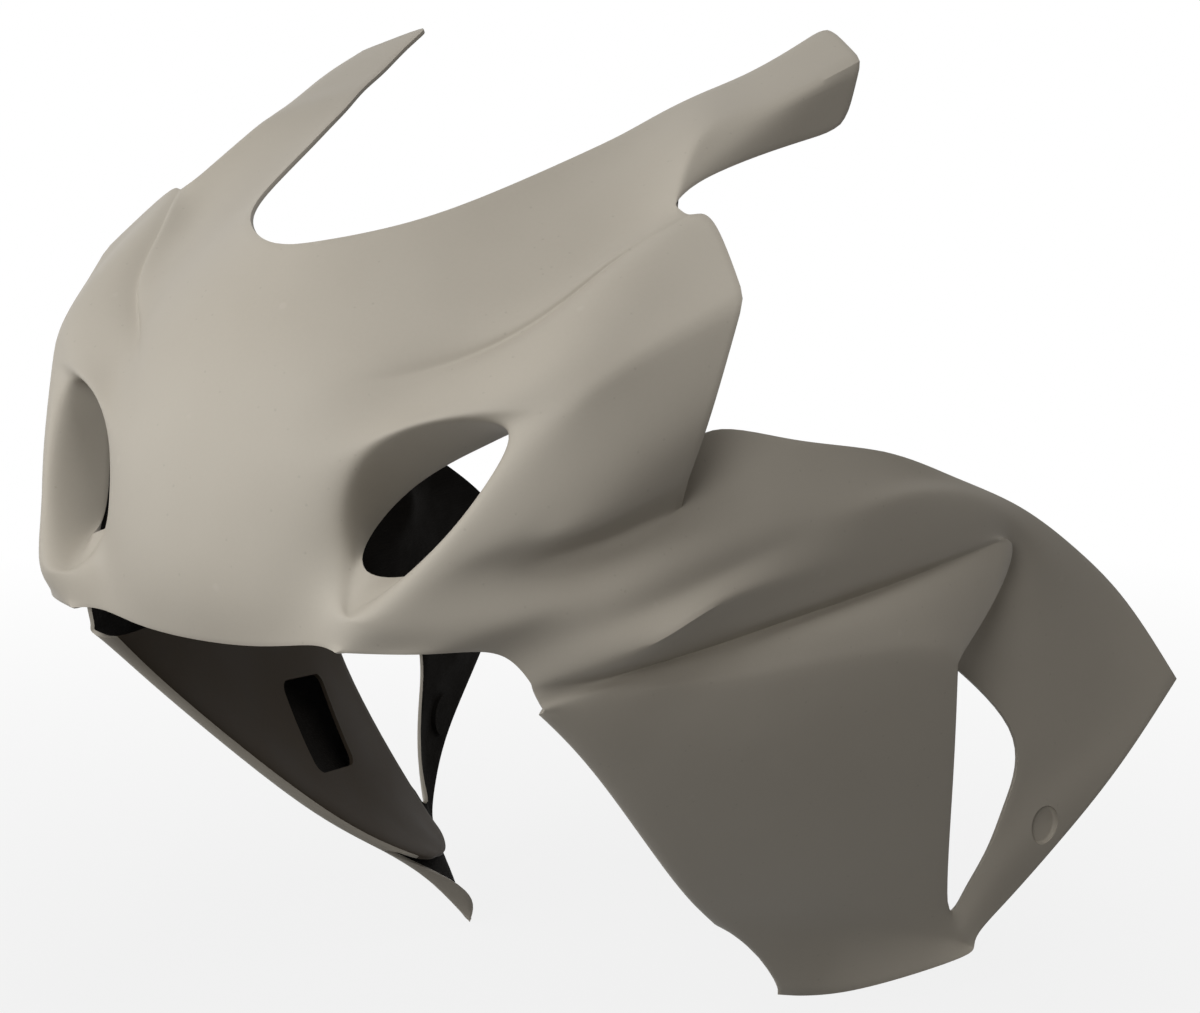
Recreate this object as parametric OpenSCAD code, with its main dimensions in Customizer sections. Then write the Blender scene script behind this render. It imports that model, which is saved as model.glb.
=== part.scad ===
// Front cowl of a racing motorcycle: one thin moulded skin, open at the back.
// X points forward, Y to the left of the machine and Z up. Sizes are in millimetres.
// The skin is drawn as a net of character lines for the left half. The net is mirrored, rounded by
// two steps of subdivision so that it passes through the named points, and then given its thickness.

/* [Skin] */

// Thickness of the moulded skin
wall = 2.5; // [2:0.1:3]
// A patch of the outer face that bulges more than this from flat is split finer
outer_flatness = 0.6; // [0.6:0.05:1]
// The same for the inner face
inner_flatness = 1; // [1:0.1:1.6]

/* [Beak] */

// Front of the beak, ahead of the datum
nose_reach = 387; // [380:1:395]
// Height of the underside of the beak over the datum
nose_height = 8; // [2:1:14]
// Half width of the beak between the intakes
nose_half = 84; // [80:1:88]
// Chin corner under the intake, ahead of the datum
chin_reach = 380; // [376:1:384]
// Chin corner, half width
chin_half = 97; // [94:1:100]
// Chin corner, below the datum
chin_drop = 12; // [8:1:16]

/* [Screen opening] */

// Front of the screen opening, ahead of the datum
screen_reach = 303; // [296:1:310]
// Front of the screen opening, over the datum
screen_height = 192; // [186:1:198]

/* [Arms beside the screen] */

// Root of the arm, ahead of the datum
arm_root_reach = 136; // [130:1:142]
// Root of the arm, half width at its ridge
arm_root_half = 164; // [158:1:170]
// Root of the arm, over the datum
arm_root_height = 251; // [246:1:256]
// Tip of the arm, behind the datum
arm_tip_back = 18; // [8:1:40]
// Tip of the arm, half width at its upper corner
arm_tip_half = 156; // [148:1:164]
// Tip of the arm, over the datum
arm_tip_height = 308; // [298:1:318]
// Width of the outer face of the arm
arm_width = 37; // [30:1:42]

/* [Ears] */

// Tip of the ear, ahead of the datum
ear_reach = 207; // [202:1:212]
// Tip of the ear, half width
ear_half = 239; // [234:1:244]
// Tip of the ear, over the datum
ear_height = 168; // [163:1:173]

/* [Intakes] */

// Middle of the intake mouth, ahead of the datum
eye_reach = 340; // [338:1:343]
// Middle of the intake mouth, half width
eye_half = 130; // [127:1:133]
// Middle of the intake mouth, over the datum
eye_height = 60; // [57:1:63]
// Width across the mouth
intake_width = 86; // [80:1:90]
// Height of the mouth
intake_height = 102; // [96:1:106]
// How far the duct runs back from the mouth
duct_depth = 35; // [22:1:42]

/* [Saddle notch and flanks] */

// Notch between ear and flank, ahead of the datum
saddle_reach = 224; // [220:1:228]
// Notch, half width
saddle_half = 211; // [207:1:215]
// Notch, over the datum
saddle_height = 54; // [50:1:58]
// Rear end of the flank, behind the datum
flank_back = 104; // [98:1:112]
// Rear end of the flank, half width
flank_half = 251; // [247:1:256]
// Rear end of the flank, over the datum
flank_height = 11; // [6:1:16]

/* [Wedge and front panels] */

// Front of the wedge above the front panel, ahead of the datum
wedge_reach = 302; // [298:1:306]
// Front of the wedge, half width
wedge_half = 165; // [161:1:169]
// Front of the wedge, below the datum
wedge_drop = 33; // [29:1:37]
// How deep the groove sits under the ridge of the front panel
groove_depth = 3; // [1:0.5:6]
// Upper rear corner of the front panel, ahead of the datum
sail_reach = 4; // [-4:1:12]
// Upper rear corner of the front panel, half width
sail_half = 266; // [262:1:272]
// Upper rear corner of the front panel, below the datum
sail_drop = 68; // [63:1:73]
// How far the inner skin of the front panel stands in from the outer one
panel_gap = 20; // [14:1:26]

/* [Feet] */

// Front tip of the foot, behind the datum
toe_back = 21; // [15:1:27]
// Front tip of the foot, half width
toe_half = 127; // [122:1:132]
// Front tip of the foot, below the datum
toe_drop = 314; // [306:1:324]
// Heel of the foot, behind the datum
heel_back = 91; // [87:1:95]
// Heel of the foot, half width
heel_half = 217; // [213:1:221]
// Heel of the foot, below the datum
heel_drop = 277; // [271:1:283]

/* [Rear legs and vents] */

// Outer rear corner of the leg, behind the datum
corner_back = 278; // [268:1:290]
// Outer rear corner of the leg, half width
corner_half = 287; // [280:1:294]
// Outer rear corner of the leg, below the datum
corner_drop = 131; // [122:1:140]
// Widest place of the vent, behind the datum
vent_back_reach = 117; // [110:1:126]
// Widest place of the vent, half width
vent_back_half = 249; // [246:1:252]
// Widest place of the vent, below the datum
vent_back_drop = 138; // [132:1:144]
// Lower end of the vent, behind the datum
vent_low_back = 80; // [77:1:83]
// Lower end of the vent, half width
vent_low_half = 218; // [215:1:221]
// Lower end of the vent, below the datum
vent_low_drop = 256; // [252:1:260]

/* [Fastener recesses in the rear legs] */

// Inner diameter of the recess
recess_diameter = 26; // [16:0.5:30]
// Depth of the recess
recess_depth = 4; // [2:0.5:6]
// Thickness of the boss behind and round the recess
recess_wall = 2.5; // [2:0.5:4]
// Place of the recess, behind the datum
recess_back = 146; // [138:1:154]
// Place of the recess, half width
recess_half = 255; // [250:1:260]
// Place of the recess, below the datum
recess_drop = 208; // [200:1:212]

/* [Openings in the inner skins] */

// Length of the rounded opening in the inner skin of the front panel
hatch_length = 66; // [50:1:74]
// Height of the rounded opening
hatch_height = 68; // [50:1:76]
// Radius of its corners
hatch_corner = 9; // [5:0.5:16]
// Middle of the opening, ahead of the datum
hatch_reach = 62; // [56:1:68]
// Middle of the opening, half width
hatch_half = 191; // [187:1:195]
// Middle of the opening, below the datum
hatch_drop = 161; // [156:1:166]
// Slope of the long sides of the opening, front end up
hatch_slope = 9; // [0:1:18]

/* [Hidden] */

// Named corners of the left half
screen = [screen_reach, 0, screen_height];
nose = [nose_reach, 0, nose_height];
chin = [chin_reach, chin_half, -chin_drop];
arm_root = [arm_root_reach, arm_root_half, arm_root_height];
arm_tip = [-arm_tip_back, arm_tip_half, arm_tip_height];
ear = [ear_reach, ear_half, ear_height];
eye = [eye_reach, eye_half, eye_height];
saddle = [saddle_reach, saddle_half, saddle_height];
flank = [-flank_back, flank_half, flank_height];
wedge = [wedge_reach, wedge_half, -wedge_drop];
sail = [sail_reach, sail_half, -sail_drop];
toe = [-toe_back, toe_half, -toe_drop];
heel = [-heel_back, heel_half, -heel_drop];
corner = [-corner_back, corner_half, -corner_drop];
vent_back = [-vent_back_reach, vent_back_half, -vent_back_drop];
vent_low = [-vent_low_back, vent_low_half, -vent_low_drop];

// Character lines of the left half, each from the middle or the front outward or back

// Free edge that the screen sits on, from the middle out to the root of the arm
screen_edge = [
    screen, screen + [-3, 20, 2], screen + [-37, 60, 12], arm_root + [78, -80, -30],
    arm_root + [29, -63, -13], arm_root + [-1, -53, -2], arm_root + [-28, -46, 9],
    arm_root + [-56, -36, 20]
];

// Band just below the screen edge; it ends on the ridge of the arm
screen_band = [
    screen + [27, 0, -26], screen + [21, 38, -26], screen + [-5, 76, -20],
    arm_root + [122, -60, -67], arm_root + [76, -40, -47], arm_root + [44, -25, -31],
    arm_root + [20, -12, -15], arm_root
];

// Brow of the cowl; it ends in the notch between arm and ear
brow = [
    nose + [-41, 0, 137], nose + [-47, nose_half / 2, 138], nose + [-69, nose_half - 2, 142],
    arm_root + [148, -50, -91], arm_root + [107, -26, -74], arm_root + [74, -12, -59],
    arm_root + [56, 1, -48], arm_root + [50, 16, -37]
];

// Bottom of the shallow groove on the temple
temple = [
    nose + [-27, 0, 112], nose + [-33, nose_half / 2 + 2, 113], nose + [-51, nose_half, 118],
    ear + [95, -122, -34], ear + [68, -85, -11], ear + [34, -70, 13], ear + [6, -58, 29],
    ear + [-22, -48, 41]
];

// Upper lid of the intake, out to the top of the ear
lid = [
    nose + [-16, 0, 88], nose + [-21, nose_half / 2 + 2, 89], nose + [-39, nose_half, 96],
    ear + [113, -117, -52], ear + [94, -63, -34], ear + [56, -47, -9], ear + [16, -36, 11],
    ear + [-23, -33, 37]
];

// Side ridge from the beak over the intake to the tip of the ear
side_ridge = [
    nose + [-9, 0, 66], nose + [-13, nose_half / 2 + 4, 67], nose + [-29, nose_half, 78],
    eye + [-4, -8, 49], ear + [90, -48, -49], ear + [61, -31, -30], ear + [31, -16, -15], ear
];

// Beak, widest part
beak = [
    nose + [-2, 0, 32], nose + [-6, nose_half / 2 + 4, 33], nose + [-21, nose_half - 4, 42]
];

// Beak, under side
beak_low = [
    nose, nose + [-4, nose_half / 2 + 6, 1], nose + [-17, nose_half - 2, 6]
];

// Free lower edge of the beak
beak_edge = [
    nose + [-7, 0, -26], nose + [-8, nose_half / 2 + 3, -24], nose + [-12, nose_half - 6, -19]
];

// Outer lip of the intake, three points down its outboard side
lip_top = eye + [-18, 44, 15];
lip_mid = eye + [9, 20, -24];
lip_low = eye + [43, -8, -56];

// Rounded crest of the intake mouth, from its top corner inboard, down and back up
mouth = [
    eye + [-27, 0.41 * intake_width, 0.45 * intake_height],
    eye + [-14, 0.00 * intake_width, 0.42 * intake_height],
    eye + [10, -0.40 * intake_width, 0.25 * intake_height],
    eye + [24, -0.53 * intake_width, -0.06 * intake_height],
    eye + [31, -0.44 * intake_width, -0.45 * intake_height],
    eye + [39, -0.26 * intake_width, -0.51 * intake_height],
    eye + [12, 0.14 * intake_width, -0.16 * intake_height],
    eye + [-9, 0.34 * intake_width, 0.17 * intake_height]
];

// Way that the duct runs back from each point of the mouth, for one millimetre of depth
duct_run = [
    [-0.80, -0.43, -0.23], [-0.97, 0.11, -0.34], [-1.09, 0.17, -0.40], [-0.80, 0.06, -0.26],
    [-0.31, 0.17, 0.29], [-1.26, 0.29, 0.34], [-1.14, -0.26, -0.06], [-1.11, -0.26, -0.09]
];

// Free inner end of the duct
duct_end = [for (i = [0:7]) mouth[i] + duct_depth * duct_run[i]];

// Ring of the cowl surface round the mouth
socket = [side_ridge[4], side_ridge[3], side_ridge[2], beak[2], beak_low[2], lip_low, lip_mid, lip_top];

// Cheek below the side ridge, upper line
cheek_high = [
    lip_top, ear + [86, -42, -82], ear + [55, -24, -71], ear + [22, -6, -60]
];

// Cheek, middle line; it ends at the saddle notch
cheek_mid = [
    lip_mid, saddle + [94, -39, -20], saddle + [61, -21, -16], saddle
];

// Cheek, lowest line, above the free edge behind the chin
cheek_low = [
    lip_low, saddle + [112, -50, -50], saddle + [72, -23, -46], saddle + [-6, 8, -22]
];

// Free edge behind the chin
jaw_edge = [
    chin + [-20, 39, 0], wedge + [27, -15, 19], wedge + [9, -7, 13]
];

// Free upper edge of the flank, behind the saddle notch
flank_edge = [
    saddle, saddle + [-50, -21, 36], saddle + [-109, 4, 22], flank + [141, -19, 52]
];

// Top of the flank
flank_top = [
    jaw_edge[1], cheek_low[2], cheek_low[3], saddle + [-105, 21, -4], flank + [74, -8, 27], flank
];

// Soft shoulder above the wedge
shoulder = [
    jaw_edge[2], wedge + [-21, 38, 30], wedge + [-97, 57, 47], flank + [204, -9, 22],
    flank + [106, -1, 26], flank + [11, 2, -7]
];

// Lower edge of the wedge that faces forward
wedge_line = [
    wedge, wedge + [-47, 40, 10], wedge + [-95, 59, 35], sail + [99, -26, 74],
    flank + [118, -1, 2], flank + [13, 2, -13]
];

// Ridge along the top of the front panel; it ends at the corner over the vent
panel_ridge = [
    wedge + [-9, 5, -19], wedge + [-48, 25, -16], wedge + [-100, 44, -17], sail + [130, -30, 19],
    sail + [35, -4, 16], sail
];

// Bottom of the long groove over that ridge
groove = [
    panel_ridge[0] + [5, -groove_depth, 8], panel_ridge[1] + [-4, -groove_depth, 12],
    panel_ridge[2] + [-5, -groove_depth, 18], panel_ridge[3] + [-2, -2 - groove_depth, 28],
    panel_ridge[4] + [-14, -12 - groove_depth, 38], flank + [16, 3, -17]
];

// Wall between the groove and the ridge
groove_wall = [
    panel_ridge[0] + [4, -2, 4], panel_ridge[1] + [-1, -1, 8], panel_ridge[2] + [-2, -1, 12],
    panel_ridge[3] + [4, -1, 19], panel_ridge[4] + [4, -5, 25], panel_ridge[5] + [-71, -7, 33]
];

// Front panel, upper line
panel_high = [
    wedge + [-59, 6, -62], wedge + [-92, 23, -66], wedge + [-133, 40, -72], sail + [106, -40, -47],
    sail + [32, -21, -61], sail + [-21, -12, -76]
];

// Front panel, lower line; it ends at the bottom of the vent
panel_low = [
    toe + [157, 25, 123], toe + [130, 34, 116], toe + [93, 46, 107], toe + [47, 62, 95],
    vent_low + [54, -12, 23], vent_low
];

// Sill above the foot
sill = [
    toe + [94, 8, 76], toe + [65, 15, 69], toe + [33, 25, 60], toe + [-7, 38, 49],
    heel + [33, -28, 8], heel
];

// Free bottom edge of the foot
foot_edge = [
    toe, toe + [-6, 6, -1], toe + [-11, 14, -1], toe + [-32, 33, -1], heel + [18, -23, -26],
    heel + [-5, 5, -14]
];

// Free outer edge of the rear leg
leg_outer = [
    flank_top[5], corner + [97, -31, 101], corner + [37, -22, 58], corner, corner + [60, -14, -52],
    corner + [118, -30, -93], heel + [-33, 24, 22], heel + [-13, 12, 2], heel + [-14, 9, -9]
];

// Middle of the rear leg
leg_middle = [
    shoulder[5], flank + [-28, 5, -47], flank + [-45, 5, -87], corner + [75, -23, -14],
    vent_back + [-43, 9, -47], heel + [-30, 31, 57], heel + [-11, 18, 30], heel + [0, 7, 10],
    heel + [-11, 3, -6]
];

// Inner edge of the rear leg, round the vent
leg_inner = [
    groove[5], flank + [6, -5, -60], sail + [-39, -26, -6], vent_back, vent_back + [7, -6, -49],
    vent_low + [-21, 19, 40], vent_low + [-9, 8, 14], panel_low[5], sill[5]
];

// Upper edge of the arm
arm_high = [
    screen_edge[7], arm_tip + [66, -18, -27], arm_tip + [32, -8, -13], arm_tip
];

// Ridge of the arm
arm_ridge = [
    screen_band[7], arm_root + [-36, 11, 9], arm_tip + [68, 34, -31], arm_tip + [28, 40, -18]
];

// Lower edge of the arm, from the notch back
arm_low = [
    brow[7], arm_root + [19, 14, -25], arm_ridge[2] + [38, -6, -arm_width],
    arm_ridge[3] + [17, -3, -1 - arm_width]
];

// Inner skin of the front panel, upper free edge
inner_high = [
    panel_ridge[0], wedge + [-19, 15 - panel_gap, -23], wedge + [-87, 35 - panel_gap, -25],
    sail + [116, -31 - panel_gap, 8], sail + [26, -3 - panel_gap, 6],
    sail + [-12, 6 - panel_gap, -4]
];

// Inner skin, upper line
inner_mid = [
    panel_high[0], wedge + [-80, 16 - panel_gap, -75], wedge + [-122, 27 - panel_gap, -85],
    sail + [106, -54 - panel_gap, -58], sail + [36, -32 - panel_gap, -64],
    sail + [-26, -4 - panel_gap, -74]
];

// Inner skin, lower line
inner_low = [
    panel_low[0], toe + [129, 32 - panel_gap, 106], toe + [91, 43 - panel_gap, 96],
    toe + [51, 59 - panel_gap, 88], vent_low + [60, -11 - panel_gap, 20],
    vent_low + [10, 12 - panel_gap, 6]
];

// Inner skin, lower free edge
inner_hem = [
    sill[0], toe + [53, 17 - panel_gap, 61], toe + [27, 28 - panel_gap, 56],
    toe + [1, 41 - panel_gap, 48], heel + [39, -24 - panel_gap, 7], heel + [7, 8 - panel_gap, 5]
];

// Extra point on the front edge above the foot
shin = toe + [5, -3, 28];

// Part of a line from one place to another
function part_of(line, from, to) = [for (i = [from:to]) line[i]];

// Nets of four-sided patches between neighbouring lines; the sign says which way they face
nets = [
    [-1, [screen_edge, screen_band, brow, temple, lid, side_ridge]],
    [-1, [part_of(side_ridge, 0, 2), beak, beak_low, beak_edge]],
    [1, [concat(socket, [socket[0]]), concat(mouth, [mouth[0]]), concat(duct_end, [duct_end[0]])]],
    [-1, [[beak_low[2], lip_low], [beak_edge[2], chin]]],
    [-1, [part_of(side_ridge, 4, 7), cheek_high, cheek_mid, cheek_low]],
    [-1, [part_of(cheek_low, 0, 2), [chin, jaw_edge[0], jaw_edge[1]]]],
    [-1, [part_of(flank_edge, 2, 3), part_of(flank_top, 3, 4)]],
    [-1, [flank_top, shoulder, wedge_line, groove, groove_wall, panel_ridge]],
    [-1, [panel_ridge, panel_high, panel_low, sill]],
    [-1, [part_of(sill, 1, 5), part_of(foot_edge, 1, 5)]],
    [-1, [leg_outer, leg_middle]],
    [-1, [part_of(leg_middle, 0, 1), [wedge_line[5], leg_inner[1]]]],
    [-1, [part_of(leg_middle, 1, 8), part_of(leg_inner, 1, 8)]],
    [1, [[sill[5], foot_edge[5]], [leg_middle[8], leg_outer[8]]]],
    [1, [[groove_wall[5], panel_ridge[5]], [leg_inner[1], leg_inner[2]]]],
    [-1, [arm_high, arm_ridge, arm_low]],
    [1, [inner_high, inner_mid, inner_low, inner_hem]]
];

// Patches with three or five sides, where lines end or an edge needs one more point
odd_patches = [
    [wedge_line[5], groove[5], leg_inner[1]],
    [groove[5], groove_wall[5], leg_inner[1]],
    [flank_top[2], flank_top[3], flank_edge[2], flank_edge[1], saddle],
    [shin, foot_edge[0], foot_edge[1], sill[1], sill[0]]
];

// Lines that stay crisp, with how crisp they are; 1 lasts for one step of rounding
crisp_lines = [
    [1.6, part_of(side_ridge, 4, 7)],
    [2.2, part_of(groove, 1, 5)],
    [1.5, part_of(panel_ridge, 1, 5)],
    [1.2, part_of(wedge_line, 1, 2)],
    [0.6, part_of(wedge_line, 2, 3)],
    [1.2, part_of(shoulder, 1, 4)],
    [1, [mouth[0], socket[0]]],
    [3, [groove[5], groove_wall[5], panel_ridge[5]]],
    [1.5, [screen_band[7], brow[7]]],
    [1.5, arm_ridge],
    [0.6, part_of(temple, 1, 4)]
];

// Points that stay sharp corners
sharp_points = [chin, saddle, corner, toe, arm_tip, arm_low[3], sail];

// Numbering of the points of the left half: each place gets one number
function place_key(p) = p.x + 1013.7 * p.y + 7919.3 * p.z;

function patches_of(sign, rows) = [
    for (i = [0:len(rows) - 2]) for (j = [0:len(rows[i]) - 2])
        sign > 0
            ? [rows[i][j], rows[i][j + 1], rows[i + 1][j + 1], rows[i + 1][j]]
            : [rows[i][j], rows[i + 1][j], rows[i + 1][j + 1], rows[i][j + 1]]
];

half_patches = concat([for (n = nets) each patches_of(n[0], n[1])], odd_patches);
all_corners = [for (q = half_patches) each q];
all_keys = [for (p = all_corners) place_key(p)];
first_use = [for (i = [0:len(all_keys) - 1]) if (search(all_keys[i], all_keys)[0] == i) i];
half_points = [for (i = first_use) all_corners[i]];
half_keys = [for (i = first_use) all_keys[i]];
half_count = len(half_points);

function number_of(p) = search(place_key(p), half_keys)[0];

// The right half is the mirror image; points on the middle plane are shared
off_middle = [for (i = [0:half_count - 1]) if (half_points[i].y > 0) i];

function twin(i) = half_points[i].y > 0 ? half_count + search(i, off_middle)[0] : i;

cage_points = concat(
    half_points,
    [for (i = off_middle) [half_points[i].x, -half_points[i].y, half_points[i].z]]
);
half_faces = [for (q = half_patches) [for (p = q) number_of(p)]];
cage_faces = concat(
    half_faces,
    [for (f = half_faces) [for (k = [len(f) - 1:-1:0]) twin(f[k])]]
);

// An edge is known by the numbers of its two ends
edge_base = 10000;

function edge_key(a, b) = min(a, b) * edge_base + max(a, b);

left_crisp = [
    for (c = crisp_lines) for (i = [0:len(c[1]) - 2])
        [number_of(c[1][i]), number_of(c[1][i + 1]), c[0]]
];
cage_crisp = concat(
    [for (c = left_crisp) [edge_key(c[0], c[1]), c[2]]],
    [for (c = left_crisp) [edge_key(twin(c[0]), twin(c[1])), c[2]]]
);
left_sharp = [for (p = sharp_points) number_of(p)];
fixed = concat(left_sharp, [for (i = left_sharp) twin(i)]);

// Neighbourhood tables of a net of faces. Each face side is listed once as
// [start, end, face, place in face]; sides that meet share one edge.
open_edge = 99;

function net_of(faces, count, crisp) =
    let (
        sides = [
            for (f = [0:len(faces) - 1]) for (k = [0:len(faces[f]) - 1])
                [faces[f][k], faces[f][(k + 1) % len(faces[f])], f, k]
        ],
        first_side = [for (i = 0, s = 0; i < len(faces); s = s + len(faces[i]), i = i + 1) s],
        keys = [for (s = sides) edge_key(s[0], s[1])],
        firsts = search(keys, keys),
        own = [for (i = [0:len(keys) - 1]) if (firsts[i] == i) i],
        edge_keys = [for (i = own) keys[i]],
        edge_sides = search(edge_keys, keys, 2),
        edge_of = search(keys, edge_keys),
        starts = [for (s = sides) s[0]],
        around = search([for (i = [0:count - 1]) i], starts, 0),
        crisp_keys = [for (c = crisp) c[0]],
        sharpness = [
            for (e = [0:len(edge_keys) - 1])
                len(edge_sides[e]) == 1 ? open_edge
                    : let (c = search(edge_keys[e], crisp_keys)) len(c) == 0 ? 0 : crisp[c[0]][1]
        ]
    )
    [faces, count, sides, first_side, edge_sides, edge_of, around, sharpness];

// Side before a given one in the same face
function side_before(net, s) =
    let (side = net[2][s], many = len(net[0][side[2]]))
    net[3][side[2]] + (side[3] + many - 1) % many;

function mean(list) = list * [for (v = list) 1] / len(list);
function average(points) = [for (i = [0:2]) mean([for (p = points) p[i]])];

// One step of rounding: new places of the old points, then one point per edge and one per face
function refined(points, net) =
    let (
        sides = net[2],
        centres = [for (f = net[0]) average([for (i = f) points[i]])],
        edge_points = [
            for (e = [0:len(net[4]) - 1])
                let (
                    s = sides[net[4][e][0]],
                    mid = (points[s[0]] + points[s[1]]) / 2,
                    hard = min(1, net[7][e])
                )
                hard == 1 ? mid
                    : hard * mid + (1 - hard) * (
                        2 * mid + centres[s[2]] + centres[sides[net[4][e][1]][2]]
                    ) / 4
        ],
        old_points = [for (v = [0:net[1] - 1]) moved(points, net, centres, v)]
    )
    concat(old_points, edge_points, centres);

function moved(points, net, centres, v) =
    let (
        p = points[v],
        sides = net[2],
        out = net[6][v],
        crisp_out = [for (s = out) if (net[7][net[5][s]] > 0) [sides[s][1], net[7][net[5][s]]]],
        crisp_in = [
            for (s = out)
                let (b = side_before(net, s))
                if (net[7][net[5][b]] == open_edge) [sides[b][0], open_edge]
        ],
        crisp = concat(crisp_out, crisp_in)
    )
    len(crisp) > 2 || len(search(v, fixed)) > 0 ? p
        : len(crisp) < 2 ? smooth_place(points, net, centres, v)
        : let (
            along = (6 * p + points[crisp[0][0]] + points[crisp[1][0]]) / 8,
            hard = min(1, (crisp[0][1] + crisp[1][1]) / 2)
        )
        hard == 1 ? along : hard * along + (1 - hard) * smooth_place(points, net, centres, v);

function smooth_place(points, net, centres, v) =
    let (
        out = net[6][v],
        many = len(out),
        near = average([for (s = out) (points[v] + points[net[2][s][1]]) / 2]),
        middle = average([for (s = out) centres[net[2][s][2]]])
    )
    (middle + 2 * near + (many - 3) * points[v]) / many;

// Faces after one step of rounding
function refined_faces(net) =
    let (first_edge = net[1], first_centre = net[1] + len(net[4]))
    [
        for (f = [0:len(net[0]) - 1]) for (k = [0:len(net[0][f]) - 1])
            let (s = net[3][f] + k)
            [
                net[0][f][k], first_edge + net[5][s],
                first_centre + f, first_edge + net[5][side_before(net, s)]
            ]
    ];

// Crisp edges after one step of rounding, each one step softer
function refined_crisp(net) = [
    for (e = [0:len(net[4]) - 1])
        if (net[7][e] > 1 && net[7][e] < open_edge)
            let (s = net[2][net[4][e][0]])
            for (v = [s[0], s[1]]) [edge_key(v, net[1] + e), net[7][e] - 1]
];

coarse = net_of(cage_faces, len(cage_points), cage_crisp);
fine = net_of(
    refined_faces(coarse),
    len(cage_points) + len(coarse[4]) + len(cage_faces),
    refined_crisp(coarse)
);

// The cage is pulled out so that the rounded skin passes through its named points
shrunk = refined(refined(cage_points, coarse), fine);
pulled = [for (i = [0:len(cage_points) - 1]) 2 * cage_points[i] - shrunk[i]];
outer = refined(refined(pulled, coarse), fine);
edge_at = fine[1];
centre_at = fine[1] + len(fine[4]);

// Direction square to the skin at each point
function unit(v) = v / norm(v);

point_normals = [
    for (v = [0:fine[1] - 1])
        unit(sum_of([
            for (s = fine[6][v])
                let (
                    c = outer[centre_at + fine[2][s][2]] - outer[v],
                    a = outer[edge_at + fine[5][s]] - outer[v],
                    b = outer[edge_at + fine[5][side_before(fine, s)]] - outer[v]
                )
                cross(a, c) + cross(c, b)
        ]))
];
edge_normals = [
    for (e = [0:len(fine[4]) - 1])
        unit(sum_of([
            for (s = fine[4][e])
                let (
                    m = outer[edge_at + e],
                    c = outer[centre_at + fine[2][s][2]] - m
                )
                cross(outer[fine[2][s][1]] - m, c) + cross(c, outer[fine[2][s][0]] - m)
        ]))
];
centre_normals = [
    for (f = [0:len(fine[0]) - 1])
        let (m = [for (k = [0:3]) outer[edge_at + fine[5][4 * f + k]]])
        unit(cross(m[1] - m[3], m[2] - m[0]))
];

function sum_of(points) = average(points) * len(points);

normals = concat(point_normals, edge_normals, centre_normals);
inner = [for (i = [0:len(outer) - 1]) outer[i] - wall * normals[i]];

// A patch is bent where its middle or a side leaves the plane of its corners
function bulge(f) =
    let (
        q = [for (i = fine[0][f]) outer[i]],
        n = centre_normals[f],
        sides = [
            for (k = [0:3])
                abs((outer[edge_at + fine[5][4 * f + k]] - (q[k] + q[(k + 1) % 4]) / 2) * n)
        ]
    )
    max(
        abs((outer[centre_at + f] - average(q)) * n),
        abs((q[0] + q[2] - q[1] - q[3]) * n) / 4,
        max(sides)
    );

bulges = [for (f = [0:len(fine[0]) - 1]) bulge(f)];

// The middle of a side is used on free edges and next to a bent patch
function used_edges(limit) = [
    for (e = fine[4])
        len(e) == 1 || bulges[fine[2][e[0]][2]] > limit || bulges[fine[2][e[1]][2]] > limit
];

function ring(f, used) = [
    for (k = [0:3])
        let (e = fine[5][4 * f + k])
        each (used[e] ? [fine[0][f][k], edge_at + e] : [fine[0][f][k]])
];

function turned(list, by) = [for (i = [0:len(list) - 1]) list[(i + by) % len(list)]];

function fan(list) = [for (i = [1:len(list) - 2]) [list[0], list[i], list[i + 1]]];

function triangles_of(f, limit, used) =
    let (r = ring(f, used), mids = [for (i = [0:len(r) - 1]) if (r[i] >= edge_at) i])
    bulges[f] > limit
        ? [for (i = [0:len(r) - 1]) [centre_at + f, r[i], r[(i + 1) % len(r)]]]
        : fan(turned(r, len(mids) > 0 ? mids[0]
            : norm(outer[r[0]] - outer[r[2]]) < norm(outer[r[1]] - outer[r[3]]) ? 0 : 1));

function skin_of(limit) =
    let (used = used_edges(limit))
    [for (f = [0:len(fine[0]) - 1]) each triangles_of(f, limit, used)];

outer_skin = skin_of(outer_flatness);
inner_skin = skin_of(inner_flatness);
shift = len(outer);

// Strip that closes the thickness along each free edge
rim = [
    for (e = [0:len(fine[4]) - 1])
        if (len(fine[4][e]) == 1)
            let (s = fine[2][fine[4][e][0]], m = edge_at + e)
            each [
                [s[0], s[0] + shift, m], [m, s[0] + shift, m + shift],
                [m, m + shift, s[1]], [s[1], m + shift, s[1] + shift]
            ]
];

shell_points = concat(outer, inner);
shell_faces = concat(
    [for (t = outer_skin) [t[0], t[2], t[1]]],
    [for (t = inner_skin) t + [shift, shift, shift]],
    [for (t = rim) [t[0], t[2], t[1]]]
);

// Middle of the length and lowest point, which become the origin of the part
skin_x = [for (t = shell_faces) shell_points[t[0]].x];
skin_z = [for (t = shell_faces) shell_points[t[0]].z];
middle_x = (max(skin_x) + min(skin_x)) / 2;
lowest_z = min(skin_z);

// Point of the outer face nearest to a place; the leg and panel are almost flat round it
function nearest(place) =
    let (away = [for (p = outer) norm(p - place)])
    search(min(away), away)[0];

function on_skin(place, at) = place - ((place - outer[at]) * normals[at]) * normals[at];

recess_place = [-recess_back, recess_half, -recess_drop];
recess_at = nearest(recess_place);
recess_centre = on_skin(recess_place, recess_at);
recess_axis = normals[recess_at];
clear = 6;

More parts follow.
